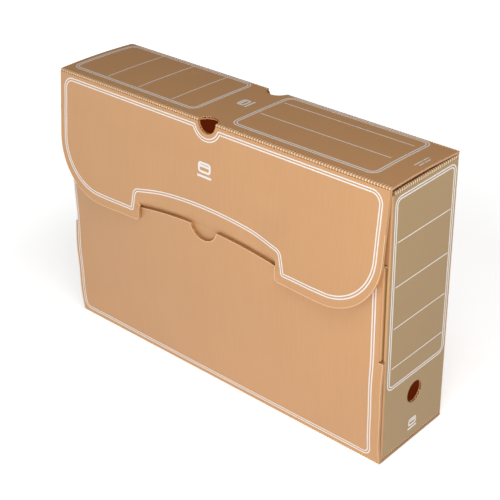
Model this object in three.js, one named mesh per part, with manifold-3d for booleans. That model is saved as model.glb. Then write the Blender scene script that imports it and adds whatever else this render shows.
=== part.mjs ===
// Archival box, folded from one die-cut sheet of twin-wall fluted plastic and standing on its long edge.
// Millimetres, +Z up. The origin is the middle of the underside, +X runs along the box's length and
// -Y is the front, where the closure flap hangs from the lid and its tongue locks in the front slit.
import * as THREE from 'three';
import { mergeVertices } from 'three/addons/utils/BufferGeometryUtils.js';
import Module from 'manifold-3d';

const wasm = await Module();
wasm.setup();

// Driving dimensions
const LENGTH = 390;
const DEPTH = 95;
const HEIGHT = 272;
const SHEET = 2.5;
const GAP = 0.3;
const FOLD_R = 1.35; // radius of the pressed roll that each crease makes
const LID_RISE = 2.5; // the sprung dust flaps hold the lid's front edge up by this much
const FLAP_LEAN = THREE.MathUtils.degToRad(6.5);
const BULGE = 10; // how far the front panel bows out at its middle
const FINGER_X = -1.5; // the finger holes sit a little left of the middle
const LID_HOLE_R = 10.5;
const REAR_HOLE_R = 11.5;
const HOLE_LAP = 0.2; // the creases run this far into the finger holes
const END_HOLE_R = 11;
const END_HOLE_Y = 2;
const END_HOLE_Z = 53;

// Places that follow from them
const HALF_LENGTH = LENGTH / 2;
const HALF_DEPTH = DEPTH / 2;
const FOLD_X = HALF_LENGTH - FOLD_R;
const FOLD_Y = HALF_DEPTH - FOLD_R;
const FOLD_CLEAR = FOLD_R + GAP; // from a crease's axis to the edge of the panel beside it
const INNER_X = HALF_LENGTH - SHEET;
const LID_AXIS_Z = HEIGHT - FOLD_R;
const FLAP_AXIS_Z = LID_AXIS_Z + LID_RISE;
const PANEL_BOTTOM = 2 * FOLD_R + GAP;

// Bottom flaps lie on the bottom panel and dust flaps lie just under the lid
const BOTTOM_FLAP_Z = SHEET + GAP;
const BOTTOM_FLAP_AXIS_Z = BOTTOM_FLAP_Z + FOLD_R;
const DUST_FLAP_PLAY = 0.4; // the lid's underside clears the dust flaps by this
const DUST_FLAP_Z = HEIGHT - 2 * SHEET - DUST_FLAP_PLAY;
const DUST_AXIS_Z = DUST_FLAP_Z + SHEET - FOLD_R;
const END_BOTTOM = BOTTOM_FLAP_AXIS_Z + FOLD_CLEAR;
const END_TOP = DUST_AXIS_Z - FOLD_CLEAR;
const INNER_FLAP_REACH = 62;
const FLAP_CORNER = 10;
const FLAP_TAPER = 2;
const DUST_CORNER = 13;
const DUST_SLOPE = 27; // how far the dust flap's rear edge slants away from the lid's crease
const DUST_SHOULDER = 3;

// Front flanges return behind the front panel, whose side tabs pass through their slots
const FLANGE_FACE_Y = -HALF_DEPTH + SHEET + GAP;
const FLANGE_AXIS_Y = FLANGE_FACE_Y + FOLD_R;
const FLANGE_REACH = 27;
const FLANGE_CORNER = 13;
const TAB_LOW = 108.5;
const TAB_HIGH = 203;
const TAB_INSET = 0.5;
const TAB_X = INNER_X - TAB_INSET; // outer face of the tab, just inside the end panel
const TAB_AXIS_X = TAB_X - FOLD_R;
const TAB_END_Y = -22;
const TAB_PLAY = 1.5;
const TAB_CORNER = 8;

// Front panel
const FRONT_TOP = 240;
const FRONT_SHOULDER_X = 181;
const SHOULDER_RISE = 18; // the front panel's cut-off top corners
const SHOULDER_RUN = 18;
const SHOULDER_SLOPE = 4;
const SLIT_Z = 174;
const SLIT_FALL = 9;
const SLIT_HALF = 86;
const SLIT_CUT = 1.8;
const NOTCH_R = 16.5;
const NOTCH_RISE = 3;
const LAYER_GAP = 0.6; // between the tongue and the lips of the slit
const BULGE_PEAK = 165;
const BULGE_END = 243;
const PRESS_SIDE = 14; // beyond the tongue's sides, the pressed-in part of the panel fades out over this
const PRESS_HOLD = 16; // above the slit it stays pressed in for this far,
const PRESS_FADE = 70; // and is back in line with the rest at this height above the slit

// Closure flap and its tongue
const LOBE_BOTTOM = 152;
const LOBE_CORNER_R = 57;
const STEP_HALF = 86;
const STEP_TOP = 172;
const TONGUE_TOP = 178;
const TONGUE_BOTTOM = 146;
const TONGUE_HALF = 84;
const TONGUE_CORNER = 14;
const STEP_R = 5; // round corner between each lobe and the tongue's shoulder
const PULL_RISE = 28; // the tongue pulls the flap in over this height,
const PULL_SIDE = 22; // and this far beyond its own sides
const LIP_MARGIN = 8;

const SQUARE = [0, 0, 0, 0];
const CURVE_STEPS = 16;
const ROLL_SIDES = 12;
const WELD = 1e-4; // corners closer than this are one corner

const COLOURS = { outside: 0xc58f5c, fold: 0xd9a673, inside: 0xb47c4a };

function sheetMaterial(colour) {
  return new THREE.MeshStandardMaterial({ color: colour, roughness: 0.5, metalness: 0 });
}

// Closed geometry to solid and back, for the cuts
function toSolid(geometry) {
  const bare = geometry.clone();
  bare.deleteAttribute('normal');
  bare.deleteAttribute('uv');
  const merged = mergeVertices(bare, WELD);
  return new wasm.Manifold(new wasm.Mesh({
    numProp: 3,
    vertProperties: Float32Array.from(merged.attributes.position.array),
    triVerts: Uint32Array.from(merged.index.array),
  }));
}

function toGeometry(solid) {
  const mesh = solid.getMesh();
  const geometry = new THREE.BufferGeometry();
  geometry.setAttribute('position', new THREE.BufferAttribute(Float32Array.from(mesh.vertProperties), 3));
  geometry.setIndex(new THREE.BufferAttribute(Uint32Array.from(mesh.triVerts), 1));
  geometry.computeVertexNormals();
  return geometry;
}

function cutAway(geometry, tools) {
  let solid = toSolid(geometry);
  for (const tool of tools) {
    solid = solid.subtract(toSolid(tool));
  }
  return toGeometry(solid);
}

function trimTo(geometry, outline) {
  return toGeometry(toSolid(geometry).intersect(toSolid(outline)));
}

// Prisms used as cutters and outlines: one straight through the front or back, one through the lid
function prism(shape, height) {
  return new THREE.ExtrudeGeometry(shape, { depth: height, bevelEnabled: false, curveSegments: CURVE_STEPS });
}

function prismAlongY(shape) {
  return prism(shape, 2 * DEPTH).rotateX(Math.PI / 2).translate(0, DEPTH, 0);
}

function prismBehind(shape) {
  return prismAlongY(shape).translate(0, DEPTH, 0);
}

function prismAlongZ(shape) {
  const reach = 8 * SHEET;
  return prism(shape, 2 * reach).translate(0, 0, HEIGHT - reach);
}

function disc(x, y, radius) {
  const shape = new THREE.Shape();
  shape.absarc(x, y, radius, 0, 2 * Math.PI, false);
  return shape;
}

// A rectangle whose corners listed by radius are rounded: [low left, low right, high right, high left]
function roundedPanel(x0, y0, x1, y1, [lowLeft, lowRight, highRight, highLeft]) {
  const shape = new THREE.Shape();
  shape.moveTo(x0 + lowLeft, y0);
  shape.lineTo(x1 - lowRight, y0);
  if (lowRight) shape.absarc(x1 - lowRight, y0 + lowRight, lowRight, -Math.PI / 2, 0, false);
  shape.lineTo(x1, y1 - highRight);
  if (highRight) shape.absarc(x1 - highRight, y1 - highRight, highRight, 0, Math.PI / 2, false);
  shape.lineTo(x0 + highLeft, y1);
  if (highLeft) shape.absarc(x0 + highLeft, y1 - highLeft, highLeft, Math.PI / 2, Math.PI, false);
  shape.lineTo(x0, y0 + lowLeft);
  if (lowLeft) shape.absarc(x0 + lowLeft, y0 + lowLeft, lowLeft, Math.PI, 1.5 * Math.PI, false);
  return shape;
}

function mirrorOutline(points, side) {
  return new THREE.Shape(points.map(([x, y]) => new THREE.Vector2(side * x, y)));
}

const box = new THREE.Group();

function addMesh(name, geometry, colour, parent = box) {
  const mesh = new THREE.Mesh(geometry, sheetMaterial(colour));
  mesh.name = name;
  parent.add(mesh);
  return mesh;
}

// Flat panels: the outline is drawn as the panel is seen, then stood up where it belongs
function sheetOf(shape) {
  const options = { depth: SHEET, bevelEnabled: false, curveSegments: CURVE_STEPS / 2 };
  return new THREE.ExtrudeGeometry(shape, options);
}

function layFlat(name, shape, z, colour) {
  addMesh(name, sheetOf(shape), colour).position.z = z;
}

function faceFront(name, shape, y, colour) {
  const mesh = addMesh(name, sheetOf(shape), colour);
  mesh.rotation.x = Math.PI / 2;
  mesh.position.y = y + SHEET;
}

function faceEnd(name, shape, x, colour) {
  const mesh = addMesh(name, sheetOf(shape), colour);
  mesh.rotation.set(Math.PI / 2, 0, Math.PI / 2, 'ZYX');
  mesh.position.x = x;
}

// A crease, as the roll of sheet between two panels
function addFold(name, from, to) {
  const start = new THREE.Vector3(...from);
  const along = new THREE.Vector3(...to).sub(start);
  const roll = new THREE.CylinderGeometry(FOLD_R, FOLD_R, along.length(), ROLL_SIDES);
  const mesh = addMesh(name, roll, COLOURS.fold);
  mesh.position.copy(start).addScaledVector(along, 0.5);
  mesh.quaternion.setFromUnitVectors(new THREE.Vector3(0, 1, 0), along.normalize());
}

// A bent sheet: a slab of one cell per column and row, each corner put where surface(column, row) says
function bentSheet(columns, rows, surface) {
  const across = columns.length - 1;
  const up = rows.length - 1;
  const slab = new THREE.BoxGeometry(across, 1, up, across, 1, up);
  const corners = slab.attributes.position;
  for (let i = 0; i < corners.count; i += 1) {
    const column = columns[Math.round(corners.getX(i) + across / 2)];
    const row = rows[Math.round(corners.getZ(i) + up / 2)];
    const depth = (corners.getY(i) + 0.5) * SHEET;
    corners.setXYZ(i, ...surface(column, row, depth));
  }
  return slab;
}

function mirroredColumns(halves) {
  return [...halves.map((x) => -x).reverse(), 0, ...halves];
}

// How far the front panel and the flap stand out from the flat front face
function bulge(x, z) {
  const acrossShare = 1 - (x / HALF_LENGTH) ** 2;
  const rising = Math.sin((Math.PI / 2) * (z / BULGE_PEAK));
  const falling = Math.cos((Math.PI / 2) * ((z - BULGE_PEAK) / (BULGE_END - BULGE_PEAK)));
  return BULGE * acrossShare * (z < BULGE_PEAK ? rising : falling);
}

function slitHeight(x) {
  return SLIT_Z - SLIT_FALL * Math.min(Math.abs(x) / SLIT_HALF, 1.1) ** 2;
}

// Above the slit the panel is pressed in, behind the tongue
function frontOut(x, z) {
  const above = z - slitHeight(x);
  if (above < 0) return bulge(x, z);
  const pressedIn = 2 * (SHEET + LAYER_GAP);
  const nearSlit = 1 - THREE.MathUtils.smoothstep(Math.abs(x), TONGUE_HALF, TONGUE_HALF + PRESS_SIDE);
  const settling = 1 - THREE.MathUtils.smoothstep(above, PRESS_HOLD, PRESS_FADE);
  return bulge(x, z) - pressedIn * nearSlit * settling;
}

function tongueOut(x, z) {
  return bulge(x, z) - SHEET - LAYER_GAP;
}

function flapOut(x, z) {
  const leaning = (FLAP_AXIS_Z - z) * Math.tan(FLAP_LEAN);
  const pull = 1 - THREE.MathUtils.smoothstep(z, TONGUE_TOP, TONGUE_TOP + PULL_RISE);
  const nearTongue = 1 - THREE.MathUtils.smoothstep(Math.abs(x), TONGUE_HALF, TONGUE_HALF + PULL_SIDE);
  const pulled = THREE.MathUtils.lerp(leaning, tongueOut(x, z), pull * nearTongue);
  if (z > FRONT_TOP) return pulled;
  // the lobes also stay outside the slit's lower lip until they are well above it
  const lipMargin = Math.abs(x) > TONGUE_HALF ? LIP_MARGIN : 0;
  const panel = Math.max(frontOut(x, z), frontOut(x, z - lipMargin));
  return Math.max(pulled, panel + SHEET + LAYER_GAP);
}

// Front panel: bowed, cut away behind the flap's upper corners, with the arched slit and thumb notch
function frontOutline() {
  const low = PANEL_BOTTOM;
  const tabEdge = TAB_AXIS_X - FOLD_CLEAR;
  const half = [
    [HALF_LENGTH, low],
    [HALF_LENGTH, TAB_LOW],
    [tabEdge, TAB_LOW],
    [tabEdge, TAB_HIGH],
    [FRONT_SHOULDER_X, TAB_HIGH],
    [FRONT_SHOULDER_X - SHOULDER_SLOPE, FRONT_TOP - SHOULDER_RISE],
    [FRONT_SHOULDER_X - SHOULDER_RUN, FRONT_TOP],
  ];
  const otherHalf = half.map(([x, z]) => [-x, z]).reverse();
  return mirrorOutline([...half, ...otherHalf], 1);
}

function slitShape(columns) {
  const inside = columns.filter((x) => Math.abs(x) <= SLIT_HALF);
  const upper = inside.map((x) => [x, slitHeight(x) + SLIT_CUT / 2]);
  const lower = inside.map((x) => [x, slitHeight(x) - SLIT_CUT / 2]).reverse();
  return mirrorOutline([...lower, ...upper], 1);
}

function notchShape() {
  const tilt = Math.asin(NOTCH_RISE / NOTCH_R);
  const shape = new THREE.Shape();
  shape.absarc(FINGER_X, SLIT_Z + NOTCH_RISE, NOTCH_R, Math.PI + tilt, 2 * Math.PI - tilt, false);
  return shape;
}

function frontPanel() {
  const overSlit = [17, 34, 51, 68, 76, SLIT_HALF];
  const columns = mirroredColumns([...overSlit, 92, 98, 112, 130, 150, 172, 186, HALF_LENGTH]);
  const slitEdge = SLIT_CUT / 2 - 0.1; // the rows beside the cut fall just inside it
  const lowRows = [PANEL_BOTTOM, 30, 60, 90, TAB_LOW, 130, 148, 160, SLIT_Z - slitEdge];
  const highRows = [SLIT_Z + slitEdge, 181, 189, 198, 208, 220, 230, FRONT_TOP];
  const bowed = bentSheet(columns, [...lowRows, ...highRows], (x, row, depth) => {
    const share = row < SLIT_Z ? row / SLIT_Z : (FRONT_TOP - row) / (FRONT_TOP - SLIT_Z);
    const z = row + (slitHeight(x) - SLIT_Z) * share;
    return [x, -HALF_DEPTH - frontOut(x, z) + depth, z];
  });
  const trimmed = trimTo(bowed, prismAlongY(frontOutline()));
  return cutAway(trimmed, [prismAlongY(slitShape(columns)), prismAlongY(notchShape())]);
}

// Lid: rises towards the front, with a half-round finger hole in each long edge
function lidPanel() {
  const rows = [-FOLD_Y + FOLD_CLEAR, FOLD_Y - FOLD_CLEAR];
  const flat = bentSheet([-HALF_LENGTH, HALF_LENGTH], rows, (x, y, depth) => {
    const rise = (LID_RISE * (FOLD_Y - y)) / (2 * FOLD_Y);
    return [x, y, HEIGHT + rise - depth];
  });
  const frontHole = prismAlongZ(disc(FINGER_X, -HALF_DEPTH, LID_HOLE_R));
  const rearHole = prismAlongZ(disc(FINGER_X, HALF_DEPTH, REAR_HOLE_R));
  return cutAway(flat, [frontHole, rearHole]);
}

// Closure flap: two round-cornered lobes, with a step between them where the tongue begins
function flapOutline() {
  const shape = new THREE.Shape();
  const top = FLAP_AXIS_Z - FOLD_CLEAR;
  const cornerX = HALF_LENGTH - LOBE_CORNER_R;
  const cornerZ = LOBE_BOTTOM + LOBE_CORNER_R;
  shape.moveTo(-HALF_LENGTH, top);
  shape.lineTo(-HALF_LENGTH, cornerZ);
  shape.absarc(-cornerX, cornerZ, LOBE_CORNER_R, Math.PI, 1.5 * Math.PI, false);
  shape.absarc(-STEP_HALF - STEP_R, LOBE_BOTTOM + STEP_R, STEP_R, 1.5 * Math.PI, 2 * Math.PI, false);
  shape.lineTo(-STEP_HALF, STEP_TOP);
  shape.lineTo(-STEP_HALF, TONGUE_TOP);
  shape.lineTo(STEP_HALF, TONGUE_TOP);
  shape.lineTo(STEP_HALF, STEP_TOP);
  shape.absarc(STEP_HALF + STEP_R, LOBE_BOTTOM + STEP_R, STEP_R, Math.PI, 1.5 * Math.PI, false);
  shape.absarc(cornerX, cornerZ, LOBE_CORNER_R, 1.5 * Math.PI, 2 * Math.PI, false);
  shape.lineTo(HALF_LENGTH, top);
  return shape;
}

function closureFlap() {
  const overTongue = [20, 40, 60, 74, TONGUE_HALF, STEP_HALF - 1];
  const columns = mirroredColumns([...overTongue, 91, 98, 106, 124, 146, 170, HALF_LENGTH]);
  const besideTongue = [LOBE_BOTTOM, 160, 169, TONGUE_TOP];
  const rows = [...besideTongue, 185, 192, 199, 206, 220, FRONT_TOP, FLAP_AXIS_Z - FOLD_CLEAR];
  const bent = bentSheet(columns, rows, (x, z, depth) => [x, -HALF_DEPTH - flapOut(x, z) + depth, z]);
  const trimmed = trimTo(bent, prismAlongY(flapOutline()));
  return cutAway(trimmed, [prismAlongY(disc(FINGER_X, FLAP_AXIS_Z, LID_HOLE_R))]);
}

function lockingTongue() {
  const columns = mirroredColumns([20, 40, 60, 74, TONGUE_HALF]);
  const rows = [TONGUE_BOTTOM, 154, 162, 170, TONGUE_TOP - GAP];
  const bent = bentSheet(columns, rows, (x, z, depth) => [x, -HALF_DEPTH - tongueOut(x, z) + depth, z]);
  const corners = [TONGUE_CORNER, TONGUE_CORNER, 0, 0];
  const outline = roundedPanel(-TONGUE_HALF, TONGUE_BOTTOM, TONGUE_HALF, TONGUE_TOP, corners);
  return trimTo(bent, prismAlongY(outline));
}

function addFixedPanels() {
  const insideX = HALF_LENGTH - 2 * FOLD_R - GAP;
  const insideY = HALF_DEPTH - 2 * FOLD_R - GAP;
  const bottom = roundedPanel(-HALF_LENGTH, -insideY, HALF_LENGTH, insideY, SQUARE);
  layFlat('bottom_panel', bottom, 0, COLOURS.outside);
  const backTop = LID_AXIS_Z - FOLD_CLEAR;
  const backPlain = sheetOf(roundedPanel(-insideX, PANEL_BOTTOM, insideX, backTop, SQUARE));
  backPlain.rotateX(Math.PI / 2).translate(0, HALF_DEPTH, 0);
  const backHole = prismBehind(disc(FINGER_X, HEIGHT, REAR_HOLE_R));
  addMesh('back_panel', cutAway(backPlain, [backHole]), COLOURS.outside);
  addMesh('front_panel', frontPanel(), COLOURS.outside);
}

function addEnd(side, word) {
  const foldX = side * FOLD_X;
  const rearEdge = FOLD_Y - FOLD_CLEAR;
  const frontEdge = FLANGE_AXIS_Y + FOLD_CLEAR;
  const wall = roundedPanel(frontEdge, END_BOTTOM, rearEdge, END_TOP, SQUARE);
  wall.holes.push(disc(END_HOLE_Y, END_HOLE_Z, END_HOLE_R));
  faceEnd(`end_panel_${word}`, wall, side > 0 ? INNER_X : -HALF_LENGTH, COLOURS.outside);

  // The slot beside the flange's crease takes the front panel's tab
  const flangeEdge = FOLD_X - FOLD_CLEAR;
  const slotEdge = TAB_X - SHEET - GAP;
  const flangeTip = FOLD_X - FLANGE_REACH;
  const flangeTop = END_TOP - SHEET;
  const flange = mirrorOutline([
    [flangeEdge, END_BOTTOM],
    [flangeEdge, TAB_LOW],
    [slotEdge, TAB_LOW],
    [slotEdge, TAB_HIGH],
    [flangeEdge, TAB_HIGH],
    [flangeEdge, flangeTop],
    [flangeTip + FLANGE_CORNER, flangeTop],
    [flangeTip, flangeTop - FLANGE_CORNER],
    [flangeTip, END_BOTTOM + FLANGE_CORNER],
    [flangeTip + FLANGE_CORNER, END_BOTTOM],
  ], side);
  faceFront(`front_flange_${word}`, flange, FLANGE_FACE_Y, COLOURS.inside);

  const tabLow = TAB_LOW + TAB_PLAY;
  const tabHigh = TAB_HIGH - TAB_PLAY;
  const tab = roundedPanel(-FOLD_Y + FOLD_CLEAR, tabLow, TAB_END_Y, tabHigh, [0, TAB_CORNER, TAB_CORNER, 0]);
  faceEnd(`front_tab_${word}`, tab, side > 0 ? TAB_X - SHEET : -TAB_X, COLOURS.inside);

  // The bottom flap is nearly square, and the dust flap tapers so that the lid clears it as it opens
  const start = FOLD_X - FOLD_CLEAR;
  const tip = FOLD_X - INNER_FLAP_REACH;
  const bottomFlap = mirrorOutline([
    [start, frontEdge],
    [tip + FLAP_CORNER, frontEdge + FLAP_TAPER],
    [tip, frontEdge + FLAP_CORNER + FLAP_TAPER],
    [tip, rearEdge - FLAP_CORNER - FLAP_TAPER],
    [tip + FLAP_CORNER, rearEdge - FLAP_TAPER],
    [start, rearEdge - GAP],
  ], side);
  layFlat(`bottom_flap_${word}`, bottomFlap, BOTTOM_FLAP_Z, COLOURS.inside);
  const dustRear = rearEdge - FLAP_TAPER;
  const dustFlap = mirrorOutline([
    [start, frontEdge],
    [tip + DUST_CORNER, frontEdge + FLAP_TAPER],
    [tip, frontEdge + DUST_CORNER + FLAP_TAPER],
    [tip, dustRear - DUST_SLOPE - DUST_CORNER],
    [tip + DUST_CORNER / 2, dustRear - DUST_SLOPE],
    [start - DUST_SHOULDER, dustRear],
    [start, dustRear],
  ], side);
  layFlat(`dust_flap_${word}`, dustFlap, DUST_FLAP_Z, COLOURS.inside);

  const foldFront = frontEdge - GAP;
  const foldRear = rearEdge - GAP;
  addFold(`back_fold_${word}`, [foldX, FOLD_Y, PANEL_BOTTOM], [foldX, FOLD_Y, LID_AXIS_Z - FOLD_CLEAR]);
  addFold(`front_fold_${word}`, [foldX, FLANGE_AXIS_Y, BOTTOM_FLAP_Z], [foldX, FLANGE_AXIS_Y, END_TOP]);
  const flapAxisZ = BOTTOM_FLAP_AXIS_Z;
  addFold(`bottom_flap_fold_${word}`, [foldX, frontEdge, flapAxisZ], [foldX, foldRear, flapAxisZ]);
  addFold(`dust_fold_${word}`, [foldX, foldFront, DUST_AXIS_Z], [foldX, foldRear, DUST_AXIS_Z]);
  const tabAxisX = side * TAB_AXIS_X;
  addFold(`tab_fold_${word}`, [tabAxisX, -FOLD_Y, tabLow], [tabAxisX, -FOLD_Y, tabHigh]);

  // The lid's two long creases are broken by their finger holes
  const lidEnd = side * HALF_LENGTH;
  const rearGap = FINGER_X + side * (REAR_HOLE_R - HOLE_LAP);
  addFold(`lid_rear_fold_${word}`, [lidEnd, FOLD_Y, LID_AXIS_Z], [rearGap, FOLD_Y, LID_AXIS_Z]);
  const frontGap = FINGER_X + side * (LID_HOLE_R - HOLE_LAP);
  addFold(`lid_front_fold_${word}`, [lidEnd, -FOLD_Y, FLAP_AXIS_Z], [frontGap, -FOLD_Y, FLAP_AXIS_Z]);
}

addFixedPanels();
addFold('bottom_front_fold', [-HALF_LENGTH, -FOLD_Y, FOLD_R], [HALF_LENGTH, -FOLD_Y, FOLD_R]);
addFold('bottom_rear_fold', [-HALF_LENGTH, FOLD_Y, FOLD_R], [HALF_LENGTH, FOLD_Y, FOLD_R]);
addEnd(-1, 'left');
addEnd(1, 'right');
addMesh('lid_panel', lidPanel(), COLOURS.outside);
addMesh('closure_flap', closureFlap(), COLOURS.outside);
addMesh('locking_tongue', lockingTongue(), COLOURS.outside);

export default box;
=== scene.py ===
import math
import bpy
from mathutils import Matrix, Quaternion, Vector


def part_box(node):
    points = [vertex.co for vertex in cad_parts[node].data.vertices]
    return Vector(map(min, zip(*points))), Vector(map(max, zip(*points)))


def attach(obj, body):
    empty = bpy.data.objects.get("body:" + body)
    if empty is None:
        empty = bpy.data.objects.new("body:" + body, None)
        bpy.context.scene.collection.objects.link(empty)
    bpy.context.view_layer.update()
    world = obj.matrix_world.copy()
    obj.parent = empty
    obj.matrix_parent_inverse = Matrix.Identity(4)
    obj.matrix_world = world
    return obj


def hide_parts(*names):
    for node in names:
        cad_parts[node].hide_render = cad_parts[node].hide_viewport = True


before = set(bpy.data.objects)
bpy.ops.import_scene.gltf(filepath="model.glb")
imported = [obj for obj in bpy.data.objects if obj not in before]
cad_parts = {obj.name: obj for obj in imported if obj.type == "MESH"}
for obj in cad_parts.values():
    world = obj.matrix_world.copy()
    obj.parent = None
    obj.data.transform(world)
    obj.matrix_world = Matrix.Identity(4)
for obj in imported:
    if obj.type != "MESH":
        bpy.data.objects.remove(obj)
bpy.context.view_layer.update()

# Studio: the camera looks down on the front right corner of the box, from a little over a metre away.
CAMERA_AT = Vector((0.677, -0.733, 0.706))
CAMERA_TURN = math.radians(42.62)
CAMERA_DROP = math.radians(30.2)
CAMERA_ROLL = math.radians(-1.23)
CAMERA_LENS = 87.6

towards_camera = Vector((
    math.sin(CAMERA_TURN) * math.cos(CAMERA_DROP),
    -math.cos(CAMERA_TURN) * math.cos(CAMERA_DROP),
    math.sin(CAMERA_DROP),
))
bpy.ops.object.camera_add(location=CAMERA_AT)
camera = bpy.context.object
camera.rotation_mode = "QUATERNION"
level = (-towards_camera).to_track_quat("-Z", "Y")
camera.rotation_quaternion = level @ Quaternion((0, 0, 1), CAMERA_ROLL)
camera.data.lens = CAMERA_LENS
camera.data.clip_start = 0.05  # metres
bpy.context.scene.camera = camera


# Fluted sheet: two thin plastic skins joined by a web every 2.9 mm, so that every cut across the flutes
# shows a row of open cells. All panels of the box are cut from one piece of it. A panel is made flat,
# facing -Y with its outer face at y = 0 and its flutes upright, and is then folded to its place.
MM = 0.001
SHEET = 2.5 * MM
SKIN = 0.4 * MM
WEB = 0.55 * MM
FLUTES_ALONG_BOX = 134
BOX_LOW, BOX_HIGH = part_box("bottom_panel")
HALF_LENGTH = BOX_HIGH.x
PITCH = 2 * HALF_LENGTH / FLUTES_ALONG_BOX
SMOOTH_ANGLE = math.radians(35)
CREASE_R = 1.35 * MM
CREASE_LAP = 1.4 * MM
BEAD_LAP = 0.6 * MM
PILLOW_ROOM = 0.5 * MM
NEAR = 0.01 * MM  # two places closer than this are the same


def only(piece):
    bpy.ops.object.select_all(action="DESELECT")
    piece.select_set(True)
    bpy.context.view_layer.objects.active = piece


def slab(low, high):
    low, high = Vector(low), Vector(high)
    bpy.ops.object.select_all(action="DESELECT")
    bpy.ops.mesh.primitive_cube_add(size=1, location=(low + high) / 2, scale=high - low)
    bpy.ops.object.transform_apply(location=True, rotation=True, scale=True)
    return bpy.context.object


def blank_sheet(left, right, bottom, top):
    return slab((left, 0, bottom), (right, SHEET, top))


def select_edges(piece, wanted):
    only(piece)
    bpy.ops.object.mode_set(mode="EDIT")
    bpy.ops.mesh.select_mode(type="EDGE")
    bpy.ops.mesh.select_all(action="DESELECT")
    bpy.ops.object.mode_set(mode="OBJECT")
    mesh = piece.data
    for edge in mesh.edges:
        ends = [mesh.vertices[i].co for i in edge.vertices]
        edge.select = wanted(*ends)
    bpy.ops.object.mode_set(mode="EDIT")


def round_corner(piece, x, z, radius, segments=8):
    def at_corner(a, b):
        return all(abs(end.x - x) < NEAR and abs(end.z - z) < NEAR for end in (a, b))

    select_edges(piece, at_corner)
    bpy.ops.mesh.bevel(offset=radius, segments=segments, affect="EDGES")
    bpy.ops.object.mode_set(mode="OBJECT")


def combine(piece, tool, operation="DIFFERENCE"):
    only(piece)
    joint = piece.modifiers.new("cut", "BOOLEAN")
    joint.operation = operation
    joint.solver = "EXACT"
    joint.object = tool
    bpy.ops.object.modifier_apply(modifier=joint.name)
    bpy.data.objects.remove(tool)
    return piece


def round_tool(x, z, radius):
    bpy.ops.object.select_all(action="DESELECT")
    middle = (x, SHEET / 2, z)
    bpy.ops.mesh.primitive_cylinder_add(
        vertices=48, radius=radius, depth=4 * SHEET, location=middle, rotation=(math.pi / 2, 0, 0)
    )
    bpy.ops.object.transform_apply(location=True, rotation=True, scale=True)
    return bpy.context.object


def duplicate(piece):
    twin = piece.copy()
    twin.data = piece.data.copy()
    bpy.context.collection.objects.link(twin)
    return twin


def join(pieces, name):
    only(pieces[0])
    for piece in pieces[1:]:
        piece.select_set(True)
    if len(pieces) > 1:
        bpy.ops.object.join()
    joined = bpy.context.object
    joined.name = name
    joined.data.name = name
    return joined


def cross_cut(piece, columns, rows):
    only(piece)
    bpy.ops.object.mode_set(mode="EDIT")
    planes = [((x, 0, 0), (1, 0, 0)) for x in columns] + [((0, 0, z), (0, 0, 1)) for z in rows]
    for point, normal in planes:
        bpy.ops.mesh.select_all(action="SELECT")
        bpy.ops.mesh.bisect(plane_co=point, plane_no=normal)
    bpy.ops.object.mode_set(mode="OBJECT")


def fold_to(piece, place):
    for vertex in piece.data.vertices:
        vertex.co = place(vertex.co.x, vertex.co.y, vertex.co.z)
    piece.data.update()


def smooth(piece):
    only(piece)
    bpy.ops.object.shade_smooth_by_angle(angle=SMOOTH_ANGLE)


def put_on(piece, body, slot, *nodes):
    smooth(piece)
    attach(piece, body)
    if nodes:
        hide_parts(*nodes)


def trim(piece, point, away):
    """Cuts off what lies beyond a straight line across the flat sheet."""
    only(piece)
    bpy.ops.object.mode_set(mode="EDIT")
    bpy.ops.mesh.select_all(action="SELECT")
    bpy.ops.mesh.bisect(
        plane_co=(point[0], 0, point[1]), plane_no=(away[0], 0, away[1]), use_fill=True, clear_outer=True
    )
    bpy.ops.object.mode_set(mode="OBJECT")


def chamfer(piece, x, z, across, along):
    """Cuts a corner off the flat sheet; across and along are signed towards the outside."""
    outward = (math.copysign(along, across), math.copysign(across, along))
    trim(piece, (x - across, z), outward)


def twin_wall(blank, name, finish):
    corners = [vertex.co for vertex in blank.data.vertices]
    left = min(corner.x for corner in corners)
    right = max(corner.x for corner in corners)
    low = min(corner.z for corner in corners)
    high = max(corner.z for corner in corners)
    first = math.ceil(left / PITCH) * PITCH
    plate = slab((first - WEB / 2, SKIN / 2, low), (first + WEB / 2, SHEET - SKIN / 2, high))
    row = plate.modifiers.new("row", "ARRAY")
    row.use_relative_offset = False
    row.use_constant_offset = True
    row.constant_offset_displace = (PITCH, 0, 0)
    row.count = int((right - first) / PITCH) + 1
    only(plate)
    bpy.ops.object.modifier_apply(modifier=row.name)
    combine(plate, duplicate(blank), "INTERSECT")
    inner = duplicate(blank)
    for vertex in blank.data.vertices:
        vertex.co.y *= SKIN / SHEET
    for vertex in inner.data.vertices:
        vertex.co.y = SHEET - SKIN + vertex.co.y * SKIN / SHEET
    for layer in (blank, plate):
        layer.data.materials.append(finish)
    inner.data.materials.append(INNER_OF[finish.name])
    return join([blank, inner, plate], name)


def repaint(piece, finish, wanted):
    """Gives another finish to the faces of a flat sheet that are picked by their middle and direction."""
    piece.data.materials.append(finish)
    for face in piece.data.polygons:
        if wanted(face.center, face.normal):
            face.material_index = len(piece.data.materials) - 1


def even_steps(low, high, step):
    count = max(1, round((high - low) / step))
    return [low + (high - low) * i / count for i in range(1, count)]


# The plastic: tan polypropylene, satin, with faint lines where the webs show through the skin and slow
# changes of tone from the extrusion. The inner skins get a painted deep orange glow for the light that
# passes through it.
TAN = (0.60, 0.315, 0.135)
PAINTED_INNER_GLOW = (0.040, 0.007, 0.001)


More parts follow.
